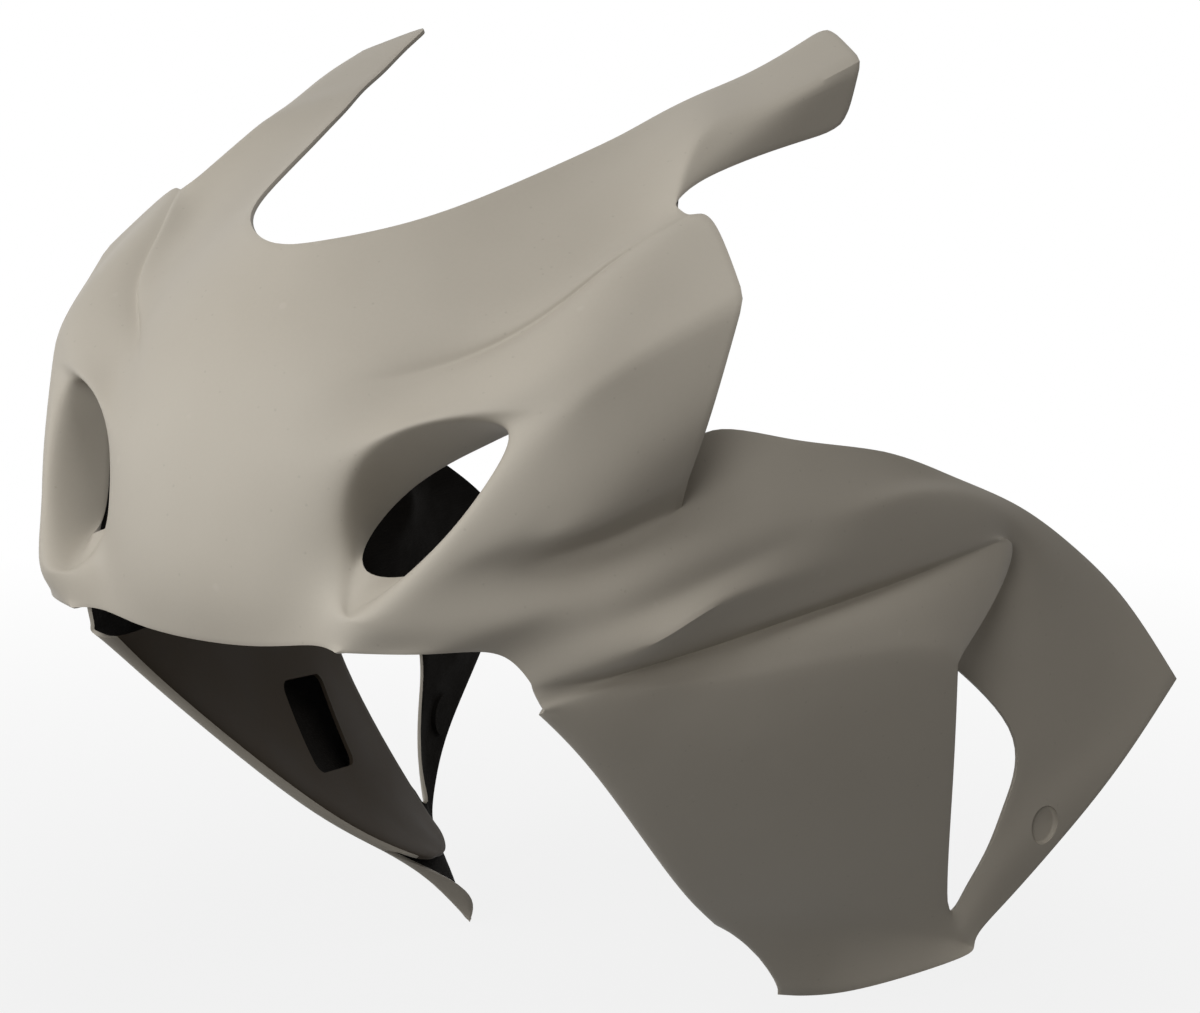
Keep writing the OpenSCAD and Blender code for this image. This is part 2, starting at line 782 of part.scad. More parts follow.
hatch_place = [hatch_reach, hatch_half, -hatch_drop];
hatch_at = nearest(hatch_place);
hatch_centre = on_skin(hatch_place, hatch_at);
hatch_axis = normals[hatch_at];
hatch_level = unit(cross(hatch_axis, [0, 0, 1]));

// Moves a shape drawn round the Z axis to a place, with its Z axis along a direction
module stand_on(place, axis, along) {
    across = cross(axis, along);
    multmatrix([
        [along.x, across.x, axis.x, place.x],
        [along.y, across.y, axis.y, place.y],
        [along.z, across.z, axis.z, place.z],
        [0, 0, 0, 1]
    ]) children();
}

// The left side's shapes and their mirror images
module both_sides() {
    children();
    mirror([0, 1, 0]) children();
}

module recess_boss() {
    level = unit(cross(recess_axis, [0, 0, 1]));
    stand_on(recess_centre, recess_axis, level)
        translate([0, 0, -recess_depth - recess_wall])
            cylinder(d = recess_diameter + 2 * recess_wall, h = recess_depth + recess_wall / 2, $fn = 64);
}

module recess_cut() {
    level = unit(cross(recess_axis, [0, 0, 1]));
    stand_on(recess_centre, recess_axis, level)
        translate([0, 0, -recess_depth])
            cylinder(d = recess_diameter, h = recess_depth + clear, $fn = 64);
}

module hatch_cut() {
    corner_x = hatch_length / 2 - hatch_corner;
    corner_y = hatch_height / 2 - hatch_corner;
    stand_on(hatch_centre, hatch_axis, hatch_level)
        rotate([0, 0, hatch_slope])
            translate([0, 0, -wall - clear])
                linear_extrude(height = wall + 2 * clear) {
                    square([hatch_length, 2 * corner_y], center = true);
                    square([2 * corner_x, hatch_height], center = true);
                    for (x = [-corner_x, corner_x]) for (y = [-corner_y, corner_y])
                        translate([x, y]) circle(r = hatch_corner, $fn = 48);
                }
}

module fairing_shell() {
    color([0.74, 0.71, 0.65])
        translate([-middle_x, 0, -lowest_z])
            difference() {
                union() {
                    polyhedron(points = shell_points, faces = shell_faces, convexity = 12);
                    both_sides() recess_boss();
                }
                both_sides() {
                    recess_cut();
                    hatch_cut();
                }
            }
}

fairing_shell();
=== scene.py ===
# %% [markdown]
# # A racing motorcycle's front cowl
# The real cowl is one thin skin of glass-fibre laminate, laid up in a mould and left in its
# warm grey gel coat. It has a beak, two intakes, two arms that hold the screen, two ears, and
# legs that run back and down round a vent on each side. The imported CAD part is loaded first.
# It is the frame: it gives the size and the place, and the modelled skin takes its place.

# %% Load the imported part
import math

import bpy
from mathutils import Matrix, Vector


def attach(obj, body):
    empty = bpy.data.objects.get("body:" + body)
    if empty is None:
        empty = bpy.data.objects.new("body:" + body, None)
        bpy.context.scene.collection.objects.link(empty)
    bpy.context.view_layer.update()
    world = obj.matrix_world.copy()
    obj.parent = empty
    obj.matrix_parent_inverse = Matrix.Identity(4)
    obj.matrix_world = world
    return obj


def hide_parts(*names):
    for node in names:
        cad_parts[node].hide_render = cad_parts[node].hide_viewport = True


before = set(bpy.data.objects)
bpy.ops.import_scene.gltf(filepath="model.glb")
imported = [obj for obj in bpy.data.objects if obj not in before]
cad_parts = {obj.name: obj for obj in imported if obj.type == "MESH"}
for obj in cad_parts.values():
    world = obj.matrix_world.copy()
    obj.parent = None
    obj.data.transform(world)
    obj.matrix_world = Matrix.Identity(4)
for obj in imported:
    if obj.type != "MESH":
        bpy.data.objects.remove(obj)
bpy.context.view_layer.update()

# %% [markdown]
# ## The camera
# The camera comes first, so that each later step can be looked at from the same place. It
# stands ahead and to the left of the machine, a little above it, and looks down by ten degrees.
# All places in this lesson are written in millimetres from a datum inside the cowl. One
# helper moves them into the frame's metres, so that the numbers stay easy to read.

# %% Datum and camera
datum = Vector((-54.4012, 0, 315.723))


def mm(x, y, z):
    return Vector((x, y, z))


def in_frame(place):
    return (place + datum) / 1000


view_distance = 1800
view_turn = math.radians(35)
view_tilt = math.radians(10.15)
camera_place = view_distance * mm(
    math.cos(view_tilt) * math.cos(view_turn), math.cos(view_tilt) * math.sin(view_turn),
    math.sin(view_tilt))
bpy.ops.object.camera_add(
    location=in_frame(camera_place),
    rotation=(math.pi / 2 - view_tilt, 0, math.pi / 2 + view_turn))
camera = bpy.context.object
camera.name = "camera"
camera.data.sensor_fit = "HORIZONTAL"
camera.data.sensor_width = 36
camera.data.lens = 82.68
bpy.context.scene.camera = camera
sight = -camera_place.normalized()
print("camera at", [round(c, 3) for c in camera.location])

# %% [markdown]
# ## How the skin is drawn
# The real mould was shaped by a few character lines: the screen edge, the brow, the ridge
# over the intake, the shoulder, the groove. A box model could be pushed towards such a
# shape, but its lines would wander. Here each line is named, and a grid is laid between
# neighbouring lines, the way a boat builder lays a skin over frames. Only the left half is
# drawn. Sixteen named corners carry all the lines.

# %% Named corners of the left half
screen = mm(303, 0, 192)
nose = mm(387, 0, 8)
chin = mm(380, 97, -12)
arm_root = mm(136, 164, 251)
arm_tip = mm(-18, 156, 308)
ear = mm(207, 239, 168)
eye = mm(340, 130, 60)
saddle = mm(224, 211, 54)
flank = mm(-104, 251, 11)
wedge = mm(302, 165, -33)
sail = mm(4, 266, -68)
toe = mm(-21, 127, -314)
heel = mm(-91, 217, -277)
corner = mm(-278, 287, -131)
vent_back = mm(-117, 249, -138)
vent_low = mm(-80, 218, -256)
print("the ear's tip is at", in_frame(ear))

# %% [markdown]
# Two helpers lay the skin. A grid primitive gets as many points as the lines have, and each
# point is moved onto its line. A grid faces up when it is added, so one that has to face the
# other way is flipped in edit mode. The odd gusset with three or five sides starts as a
# filled circle with that many corners. Two more select pieces and turn their faces outwards.

# %% Helpers that lay a grid or a gusset
sheets = []


def select_only(*pieces):
    bpy.ops.object.select_all(action="DESELECT")
    for piece in pieces:
        piece.select_set(True)
    bpy.context.view_layer.objects.active = pieces[0]


def turn_outwards(piece):
    select_only(piece)
    bpy.ops.object.mode_set(mode="EDIT")
    bpy.ops.mesh.select_all(action="SELECT")
    bpy.ops.mesh.normals_make_consistent(inside=False)
    bpy.ops.object.mode_set(mode="OBJECT")


def lay_points(places):
    sheet = bpy.context.object
    for point, place in zip(sheet.data.vertices, places, strict=True):
        point.co = in_frame(place)
    sheets.append(sheet)


def lay_grid(*lines, flip=True):
    bpy.ops.object.select_all(action="DESELECT")
    bpy.ops.mesh.primitive_grid_add(
        x_subdivisions=len(lines[0]) - 1, y_subdivisions=len(lines) - 1, size=0.1)
    lay_points([place for line in lines for place in line])
    if flip:
        bpy.ops.object.mode_set(mode="EDIT")
        bpy.ops.mesh.select_all(action="SELECT")
        bpy.ops.mesh.flip_normals()
        bpy.ops.object.mode_set(mode="OBJECT")


def lay_gusset(*places):
    bpy.ops.object.select_all(action="DESELECT")
    bpy.ops.mesh.primitive_circle_add(vertices=len(places), radius=0.05, fill_type="NGON")
    lay_points(places)


print("ready to lay grids and gussets")

# %% [markdown]
# Two more helpers refine the lines. One adds a line between two others, on a smooth curve
# through four lines, so that a fold can be narrow. The other moves points along the camera's
# line of sight. A point moved like that hardly moves in the picture, and only the hollow or
# the hump there gets deeper or flatter.

# %% Helpers that add and deepen lines
def line_between(before, first, second, after, share):
    return [(2 * b + (c - a) * share + (2 * a - 5 * b + 4 * c - d) * share ** 2
             + (3 * b - a - 3 * c + d) * share ** 3) / 2
            for a, b, c, d in zip(before, first, second, after)]


def pushed_in(line, *depths):
    return [place + depth * sight for place, depth in zip(line, depths, strict=True)]


print("line of sight", [round(c, 3) for c in sight])

# %% [markdown]
# ## The upper cowl
# The screen of the machine sits on the free upper edge. From there the skin rolls over a
# narrow band and the brow, dips into a shallow groove on the temple, and climbs to the ridge
# that ends at the tip of the ear. Six lines are named. Two more, one on each side of the
# temple, keep its groove narrow, and its bottom is pushed in. Eight lines, one grid.

# %% Upper cowl
nose_half = 84
# Free edge that the screen sits on, from the middle out to the root of the arm
screen_edge = [
    screen, screen + mm(-3, 20, 2), screen + mm(-37, 60, 12), arm_root + mm(78, -80, -30),
    arm_root + mm(29, -63, -13), arm_root + mm(-1, -53, -2), arm_root + mm(-28, -46, 9),
    arm_root + mm(-56, -36, 20)
]
# Band just below the screen edge; it ends on the ridge of the arm
screen_band = [
    screen + mm(27, 0, -26), screen + mm(21, 38, -26), screen + mm(-5, 76, -20),
    arm_root + mm(122, -60, -67), arm_root + mm(76, -40, -47), arm_root + mm(44, -25, -31),
    arm_root + mm(20, -12, -15), arm_root
]
# Brow of the cowl; it ends in the notch between arm and ear
brow = [
    nose + mm(-41, 0, 137), nose + mm(-47, nose_half / 2, 138),
    nose + mm(-69, nose_half - 2, 142), arm_root + mm(148, -50, -91),
    arm_root + mm(107, -26, -74), arm_root + mm(74, -12, -59), arm_root + mm(56, 1, -48),
    arm_root + mm(50, 16, -37)
]
# Bottom of the shallow groove on the temple
temple = [
    nose + mm(-27, 0, 112), nose + mm(-33, nose_half / 2 + 2, 113),
    nose + mm(-51, nose_half, 118), ear + mm(95, -122, -34), ear + mm(68, -85, -11),
    ear + mm(34, -70, 13), ear + mm(6, -58, 29), ear + mm(-22, -48, 41)
]
# Upper lid of the intake, out to the top of the ear
lid = [
    nose + mm(-16, 0, 88), nose + mm(-21, nose_half / 2 + 2, 89), nose + mm(-39, nose_half, 96),
    ear + mm(113, -117, -52), ear + mm(94, -63, -34), ear + mm(56, -47, -9), ear + mm(16, -36, 11),
    ear + mm(-23, -33, 37)
]
# Side ridge from the beak over the intake to the tip of the ear
side_ridge = [
    nose + mm(-9, 0, 66), nose + mm(-13, nose_half / 2 + 4, 67), nose + mm(-29, nose_half, 78),
    eye + mm(-4, -8, 49), ear + mm(90, -48, -49), ear + mm(61, -31, -30),
    ear + mm(31, -16, -15), ear
]
# Upper and lower edge of that groove
temple_high = line_between(screen_band, brow, temple, lid, 0.7)
temple_low = line_between(brow, temple, lid, side_ridge, 0.27)
temple = pushed_in(temple, 0, 0, 0, 4, 8, 7.5, 5, 0)
lay_grid(screen_edge, screen_band, brow, temple_high, temple, temple_low, lid, side_ridge)
print("upper cowl:", len(sheets[-1].data.polygons), "patches")

# %% [markdown]
# ## The beak
# Between the intakes the cowl is a rounded beak. Its underside turns back to a free edge,
# which ends at a sharp chin corner on each side. The grid above could run on down here, but
# it is wider than the beak, because the intake lies beside it. So the beak has a narrow grid
# of its own, which starts from the first three points of the side ridge.

# %% Beak
# Beak, widest part
beak = [
    nose + mm(-2, 0, 32), nose + mm(-6, nose_half / 2 + 4, 33), nose + mm(-21, nose_half - 4, 42)
]
# Beak, under side
beak_low = [
    nose, nose + mm(-4, nose_half / 2 + 6, 1), nose + mm(-17, nose_half - 2, 6)
]
# Free lower edge of the beak
beak_edge = [
    nose + mm(-7, 0, -26), nose + mm(-8, nose_half / 2 + 3, -24),
    nose + mm(-12, nose_half - 6, -19)
]
lay_grid(side_ridge[:3], beak, beak_low, beak_edge)
print("beak:", len(sheets[-1].data.polygons), "patches")

# %% [markdown]
# ## The intake
# Each intake is a slanting oval mouth with a rounded crest, and a short duct runs back from
# it. Eight points go round the mouth. The same ring is laid four times: where the cowl's
# surface meets it, on the crest, in the throat, and at the free inner end of the duct. On the
# inboard side the crest lies further back, and the duct runs deeper, so the surface rolls in
# gently there. A Boolean could cut the mouth from the finished skin, but that would leave a
# hard rim. With a ring of its own the crest is rounded together with the skin.

# %% Intake
intake_width = 86
intake_height = 102
duct_depth = 35
# Outer lip of the intake, three points down its outboard side
lip_top = eye + mm(-18, 44, 15)
lip_mid = eye + mm(9, 20, -24)
lip_low = eye + mm(43, -8, -56)
# Rounded crest of the intake mouth, from its top corner inboard, down and back up
mouth = [
    eye + mm(-27, 0.41 * intake_width, 0.45 * intake_height),
    eye + mm(-14, 0.00 * intake_width, 0.42 * intake_height),
    eye + mm(10, -0.40 * intake_width, 0.25 * intake_height),
    eye + mm(24, -0.53 * intake_width, -0.06 * intake_height),
    eye + mm(31, -0.44 * intake_width, -0.45 * intake_height),
    eye + mm(39, -0.26 * intake_width, -0.51 * intake_height),
    eye + mm(12, 0.14 * intake_width, -0.16 * intake_height),
    eye + mm(-9, 0.34 * intake_width, 0.17 * intake_height)
]
# Way that the duct runs back from each point of the mouth, for one millimetre of depth
duct_run = [
    mm(-0.80, -0.43, -0.23), mm(-0.97, 0.11, -0.34), mm(-1.09, 0.17, -0.40),
    mm(-0.80, 0.06, -0.26), mm(-0.31, 0.17, 0.29), mm(-1.26, 0.29, 0.34),
    mm(-1.14, -0.26, -0.06), mm(-1.11, -0.26, -0.09)
]
duct_end = [crest + duct_depth * run for crest, run in zip(mouth, duct_run)]
# Softer roll on the inboard side, and a slightly higher floor in the duct
mouth[1] += mm(0, -1, 2)
mouth[2] += mm(-3, 0, 3)
mouth[3] += mm(-11, 0, 0)
mouth[4] += mm(-8, 2, 2)
duct_end[4] += mm(-1, 1.5, 3.5)
duct_end[5] += mm(0, 0, 5)
duct_end = pushed_in(duct_end, 0, 12, 15, 12, 0, 0, 0, 0)
socket = [
    side_ridge[4], side_ridge[3], side_ridge[2], beak[2], beak_low[2], lip_low, lip_mid, lip_top
]
throat = line_between(socket, mouth, duct_end, duct_end, 0.4)
lay_grid(socket + socket[:1], mouth + mouth[:1], throat + throat[:1], duct_end + duct_end[:1],
         flip=False)
# Patch between the mouth and the chin corner
lay_grid([beak_low[2], lip_low], [beak_edge[2], chin])
print("intake ring:", len(mouth), "points round the mouth")

# %% [markdown]
# ## The cheek
# Below the side ridge the cheek falls away to the saddle notch, where the frame passes, and
# to the free edge behind the chin. Its lower end is a rounded fold that stands out over a
# valley: an extra line carries the fold, and the two lines below it are pushed in. A bevel
# could round the edge, but it would not make it stand out.

# %% Cheek
# Cheek below the side ridge, upper line
cheek_high = [
    lip_top, ear + mm(86, -42, -82), ear + mm(55, -24, -71), ear + mm(22, -6, -60)
]
# Cheek, middle line; it ends at the saddle notch
cheek_mid = [
    lip_mid, saddle + mm(94, -39, -20), saddle + mm(61, -21, -16), saddle
]
# Cheek, lowest line, above the free edge behind the chin
cheek_low = [
    lip_low, saddle + mm(112, -50, -50), saddle + mm(72, -23, -46), saddle + mm(-6, 8, -22)
]
# Free edge behind the chin
jaw_edge = [
    chin + mm(-20, 39, 0), wedge + mm(27, -15, 19), wedge + mm(9, -7, 13)
]
# Fold along the bottom of the cheek, above the valley of the middle line
cheek_fold = [
    lip_mid, cheek_mid[1] + mm(-5, 4, 13), cheek_mid[2] + mm(-7, 6, 14), saddle + mm(1, 5, 17)
]
cheek_fold = pushed_in(cheek_fold, 0, -5, -7, -5)
cheek_mid = pushed_in(cheek_mid, 0, 8, 14, 0)
cheek_low = pushed_in(cheek_low, 0, 2, 5, 2)
lay_grid(side_ridge[4:], cheek_high, cheek_fold, cheek_mid, cheek_low)
lay_grid(cheek_low[:3], [chin] + jaw_edge[:2])
print("cheek:", len(sheets[-2].data.polygons), "patches")

# %% [markdown]
# ## The flank and the wedge
# The upper side panel starts as a wedge that faces forward and runs back over a soft
# shoulder. Under it lies a long groove, with a crisp ridge below. These lines are close
# together, because that keeps the groove narrow after it is rounded. The edge of the wedge
# is pulled out and the shoulder and the groove are pushed in. At the front edge the groove
# has to vanish, so its lines there lie on the straight way from the wedge to the ridge.

# %% Flank, wedge and groove
groove_depth = 3
# Free upper edge of the flank, behind the saddle notch
flank_edge = [
    saddle, saddle + mm(-50, -21, 36), saddle + mm(-109, 4, 22), flank + mm(141, -19, 52)
]
# Top of the flank
flank_top = [
    jaw_edge[1], cheek_low[2], cheek_low[3], saddle + mm(-105, 21, -4),
    flank + mm(74, -8, 27), flank
]
# Soft shoulder above the wedge
shoulder = [
    jaw_edge[2], wedge + mm(-21, 38, 30), wedge + mm(-97, 57, 47), flank + mm(204, -9, 22),
    flank + mm(106, -1, 26), flank + mm(11, 2, -7)
]
# Lower edge of the wedge that faces forward
wedge_line = [
    wedge, wedge + mm(-47, 40, 10), wedge + mm(-95, 59, 35), sail + mm(99, -26, 74),
    flank + mm(118, -1, 2), flank + mm(13, 2, -13)
]
# Ridge along the top of the front panel; it ends at the corner over the vent
panel_ridge = [
    wedge + mm(-9, 5, -19), wedge + mm(-48, 25, -16), wedge + mm(-100, 44, -17),
    sail + mm(130, -30, 19), sail + mm(35, -4, 16), sail
]
# Bottom of the long groove over that ridge
groove = [
    panel_ridge[0] + mm(5, -groove_depth, 8), panel_ridge[1] + mm(-4, -groove_depth, 12),
    panel_ridge[2] + mm(-5, -groove_depth, 18), panel_ridge[3] + mm(-2, -2 - groove_depth, 28),
    panel_ridge[4] + mm(-14, -12 - groove_depth, 38), flank + mm(16, 3, -17)
]
# Wall between the groove and the ridge
groove_wall = [
    panel_ridge[0] + mm(4, -2, 4), panel_ridge[1] + mm(-1, -1, 8),
    panel_ridge[2] + mm(-2, -1, 12), panel_ridge[3] + mm(4, -1, 19),
    panel_ridge[4] + mm(4, -5, 25), panel_ridge[5] + mm(-71, -7, 33)
]
shoulder = pushed_in(shoulder, 0, 10, 5, 0, 0, 0)
wedge_line = pushed_in(wedge_line, 0, -7, -4, 0, 0, 0)
# Upper lip of the groove; it ends where the groove ends
groove_lip = line_between(shoulder, wedge_line, groove, groove_wall, 0.7)[:5] + groove[5:]
groove_lip[0] = wedge_line[0].lerp(panel_ridge[0], 0.25)
groove = pushed_in(groove, 0, 0.5, 12, 13, 10, 0)
groove[0] = wedge_line[0].lerp(panel_ridge[0], 0.5)
groove_wall = pushed_in(groove_wall, 0, 1.5, 6, 7, 5, 0)
groove_wall[0] = wedge_line[0].lerp(panel_ridge[0], 0.75)
lay_grid(flank_edge[2:4], flank_top[3:5])
lay_grid(flank_top, shoulder, wedge_line, groove_lip, groove, groove_wall, panel_ridge)
lay_gusset(flank_top[2], flank_top[3], flank_edge[2], flank_edge[1], saddle)
print("flank:", len(sheets[-2].data.polygons), "patches")

# %% [markdown]
# ## The front panel and the foot
# Below the ridge a broad panel leans back and narrows to a small foot that the lower
# fairing bolts to. One grid could reach down to the foot's edge, but the front edge steps
# back above the foot. So the foot is a strip of its own, and a gusset with one more point
# on the front edge keeps that step crisp.

# %% Front panel and foot
# Front panel, upper line
panel_high = [
    wedge + mm(-59, 6, -62), wedge + mm(-92, 23, -66), wedge + mm(-133, 40, -72),
    sail + mm(106, -40, -47), sail + mm(32, -21, -61), sail + mm(-21, -12, -76)
]
# Front panel, lower line; it ends at the bottom of the vent
panel_low = [
    toe + mm(157, 25, 123), toe + mm(130, 34, 116), toe + mm(93, 46, 107), toe + mm(47, 62, 95),
    vent_low + mm(54, -12, 23), vent_low
]
# Sill above the foot
sill = [
    toe + mm(94, 8, 76), toe + mm(65, 15, 69), toe + mm(33, 25, 60), toe + mm(-7, 38, 49),
    heel + mm(33, -28, 8), heel
]
# Free bottom edge of the foot
foot_edge = [
    toe, toe + mm(-6, 6, -1), toe + mm(-11, 14, -1), toe + mm(-32, 33, -1),
    heel + mm(18, -23, -26), heel + mm(-5, 5, -14)
]
# Extra point on the front edge above the foot
shin = toe + mm(5, -3, 28)
lay_grid(panel_ridge, panel_high, panel_low, sill)
lay_grid(sill[1:6], foot_edge[1:6])
lay_gusset(shin, foot_edge[0], foot_edge[1], sill[1], sill[0])
print("front panel:", len(sheets[-3].data.polygons), "patches")

# %% [markdown]
# ## The rear leg
# Behind the flank a long leg runs down and forward again to the foot, so that it closes a
# tall triangular vent. Two strips make it: the outer edge to its middle, and from there to
# the edge of the vent. A hole cut in one broad panel would do as well, but its edge would
# need trimming, and strips that follow the vent bend with it. Two gussets close the corner
# over the vent. The inner edge lies deeper there, which leaves a step behind the rear edge
# of the front panel.

# %% Rear leg
# Free outer edge of the rear leg
leg_outer = [
    flank_top[5], corner + mm(97, -31, 101), corner + mm(37, -22, 58), corner,
    corner + mm(60, -14, -52), corner + mm(118, -30, -93), heel + mm(-33, 24, 22),
    heel + mm(-13, 12, 2), heel + mm(-14, 9, -9)
]
# Middle of the rear leg
leg_middle = [
    shoulder[5], flank + mm(-28, 5, -47), flank + mm(-45, 5, -87), corner + mm(75, -23, -14),
    vent_back + mm(-43, 9, -47), heel + mm(-30, 31, 57), heel + mm(-11, 18, 30),
    heel + mm(0, 7, 10), heel + mm(-11, 3, -6)
]
# Inner edge of the rear leg, round the vent
leg_inner = [
    groove[5], flank + mm(6, -5, -60), sail + mm(-39, -26, -6), vent_back,
    vent_back + mm(7, -6, -49), vent_low + mm(-21, 19, 40), vent_low + mm(-9, 8, 14),
    panel_low[5], sill[5]
]
for number in (1, 2):
    leg_inner[number] += mm(0, -10, 0)
lay_grid(leg_outer, leg_middle)
lay_grid(leg_middle[:2], [wedge_line[5], leg_inner[1]])
lay_grid(leg_middle[1:9], leg_inner[1:9])
lay_grid([sill[5], foot_edge[5]], [leg_middle[8], leg_outer[8]], flip=False)
lay_grid([groove_wall[5], panel_ridge[5]], leg_inner[1:3], flip=False)
lay_gusset(wedge_line[5], groove[5], leg_inner[1])
lay_gusset(groove[5], groove_wall[5], leg_inner[1])
print("rear leg:", len(leg_outer) - 1, "patches long")

# %% [markdown]
# ## The arm
# The arm carries the upper corner of the screen. It is a folded blade: a narrow top and a
# wider side that meet on a ridge. It could be extruded from the edge of the cowl, one length
# after the other. Three lines in a grid say the same, and put its cut tip where it belongs.

# %% Arm
arm_width = 37
# Upper edge of the arm
arm_high = [
    screen_edge[7], arm_tip + mm(66, -18, -27), arm_tip + mm(32, -8, -13), arm_tip
]
# Ridge of the arm
arm_ridge = [
    screen_band[7], arm_root + mm(-36, 11, 9), arm_tip + mm(68, 34, -31), arm_tip + mm(28, 40, -18)
]
# Lower edge of the arm, from the notch back
arm_low = [
    brow[7], arm_root + mm(19, 14, -25), arm_ridge[2] + mm(38, -6, -arm_width),
    arm_ridge[3] + mm(17, -3, -1 - arm_width)
]
lay_grid(arm_high, arm_ridge, arm_low)
print("arm:", round((arm_tip - arm_root).length), "mm from root to tip")

# %% [markdown]
# ## The inner skin of the front panel
# The front panel folds round its front edge into a second skin. Seen from the front,
# through the gap between beak and legs, this inner skin is what shows. Solidify could make
# a second face, but only at the thickness of the wall. The inner skin stands two centimetres
# off, so it is laid like the rest, from the front edge of the panel inwards.

# %% Inner skin
panel_gap = 20
# Inner skin of the front panel, upper free edge
inner_high = [
    panel_ridge[0], wedge + mm(-19, 15 - panel_gap, -23), wedge + mm(-87, 35 - panel_gap, -25),
    sail + mm(116, -31 - panel_gap, 8), sail + mm(26, -3 - panel_gap, 6),
    sail + mm(-12, 6 - panel_gap, -4)
]
# Inner skin, upper line
inner_mid = [
    panel_high[0], wedge + mm(-80, 16 - panel_gap, -75), wedge + mm(-122, 27 - panel_gap, -85),
    sail + mm(106, -54 - panel_gap, -58), sail + mm(36, -32 - panel_gap, -64),
    sail + mm(-26, -4 - panel_gap, -74)
]
# Inner skin, lower line
inner_low = [
    panel_low[0], toe + mm(129, 32 - panel_gap, 106), toe + mm(91, 43 - panel_gap, 96),
    toe + mm(51, 59 - panel_gap, 88), vent_low + mm(60, -11 - panel_gap, 20),
    vent_low + mm(10, 12 - panel_gap, 6)
]
# Inner skin, lower free edge
inner_hem = [
    sill[0], toe + mm(53, 17 - panel_gap, 61), toe + mm(27, 28 - panel_gap, 56),
    toe + mm(1, 41 - panel_gap, 48), heel + mm(39, -24 - panel_gap, 7),
    heel + mm(7, 8 - panel_gap, 5)
]
lay_grid(inner_high, inner_mid, inner_low, inner_hem, flip=False)
print("sheets laid:", len(sheets))

# %% [markdown]
# ## One skin
# The sheets share their border lines exactly, so joining them and merging the doubled points
# gives one skin with no seams. Each patch has a number that says which finish it wears. The
# inner skin gets its own number here, apart from the strip that folds round the front edge.

# %% Join the sheets
# The third slot is for the inner skins, whose dark colour is painted shade
gel_coated, bare, shade_painted, bare_behind = range(4)
weld_distance = 0.0001
select_only(*sheets)
bpy.ops.object.join()
cowl = bpy.context.object
cowl.name = "cowl"
cowl.data.name = "cowl"
bpy.ops.object.mode_set(mode="EDIT")
bpy.ops.mesh.select_all(action="SELECT")
bpy.ops.mesh.remove_doubles(threshold=weld_distance)
bpy.ops.object.mode_set(mode="OBJECT")
inner_places = [in_frame(place) for line in (inner_high, inner_mid, inner_low, inner_hem)
                for place in line[1:]]
on_inner_skin = {
    point.index for point in cowl.data.vertices
    if any((point.co - place).length < weld_distance for place in inner_places)}
# The inner skin's patches get the slot whose colour is painted shade
for patch in cowl.data.polygons:
    if on_inner_skin.issuperset(patch.vertices):
        patch.material_index = shade_painted
print("left half:", len(cowl.data.vertices), "points,", len(cowl.data.polygons), "patches")

# %% [markdown]
# ## Crisp lines and sharp corners
# Subdivision rounds everything, and a real mould has both soft and crisp lines. A crease
# weight on an edge holds it for a step or two of the rounding. Close pairs of lines would do
# that too, but each pair would have to cross the whole net, and a weight stays where it is
# put. The weight is the square root of a tenth of the number of steps, which is how Blender
# reads it. A few corners stay sharp, and the corners of the arm's cut end only partly. The
# saddle's corner also moves in along the line of sight, so the cheek stands out over it.

# %% Crease weights
def nearest_point(place):
    target = in_frame(place)
    return min(cowl.data.vertices, key=lambda point: (point.co - target).length_squared).index


edge_weights = cowl.data.attributes.new("crease_edge", "FLOAT", "EDGE")
corner_weights = cowl.data.attributes.new("crease_vert", "FLOAT", "POINT")
edge_numbers = {tuple(sorted(edge.vertices)): edge.index for edge in cowl.data.edges}


def keep_crisp(line, steps):
    ends = [nearest_point(place) for place in line]
    for pair in zip(ends, ends[1:]):
        edge_weights.data[edge_numbers[tuple(sorted(pair))]].value = math.sqrt(steps / 10)


keep_crisp(side_ridge[4:], 2.6)
keep_crisp(cheek_fold[1:], 1.6)
keep_crisp(cheek_mid[1:], 1.6)
keep_crisp(groove[1:], 3)
keep_crisp(groove_lip[2:], 1)
keep_crisp(panel_ridge[1:], 2.6)
keep_crisp(wedge_line[1:3], 3)
keep_crisp(wedge_line[2:4], 1.6)
keep_crisp(shoulder[1:5], 1.2)
keep_crisp([mouth[0], socket[0]], 2)
keep_crisp([groove[5], groove_wall[5], panel_ridge[5]], 4)
keep_crisp([screen_band[7], brow[7]], 2)
keep_crisp(arm_ridge, 2.2)
keep_crisp(temple[3:7], 1.2)
for place in (chin, saddle, corner, toe, sail):
    corner_weights.data[nearest_point(place)].value = 1
for place in (arm_tip, arm_low[3], arm_ridge[3]):
    corner_weights.data[nearest_point(place)].value = 0.3
saddle_depth = 13
cowl.data.vertices[nearest_point(saddle)].co += saddle_depth / 1000 * sight
print("crisp edges:", sum(weight.value > 0 for weight in edge_weights.data))

# %% [markdown]
# ## Mirror
# The Mirror modifier makes the right half and welds it on the middle plane. It is applied
# before the rounding, so that the beak and the brow are as smooth in the middle as beside
# it. A mirrored mesh can come out facing inwards, so the normals are made to agree, and the
# beak tells which way is out.

# %% Mirror the half
select_only(cowl)
mirror = cowl.modifiers.new("mirror", "MIRROR")
mirror.use_axis = (False, True, False)
mirror.merge_threshold = weld_distance
bpy.ops.object.modifier_apply(modifier="mirror")
turn_outwards(cowl)
foremost = max(cowl.data.polygons, key=lambda patch: patch.center.x)
if foremost.normal.x < 0:
    cowl.data.flip_normals()
print("whole net:", len(cowl.data.polygons), "patches; beak faces", round(foremost.normal.x, 2))

# %% [markdown]
# ## Rounding that still passes through the points
# Subdivision pulls a surface inside its net. To make the smooth skin pass through the named
# points, the net is first pushed out: each point moves away from its rounded place by as
# much as rounding would pull it in. Then three levels of subdivision are applied.

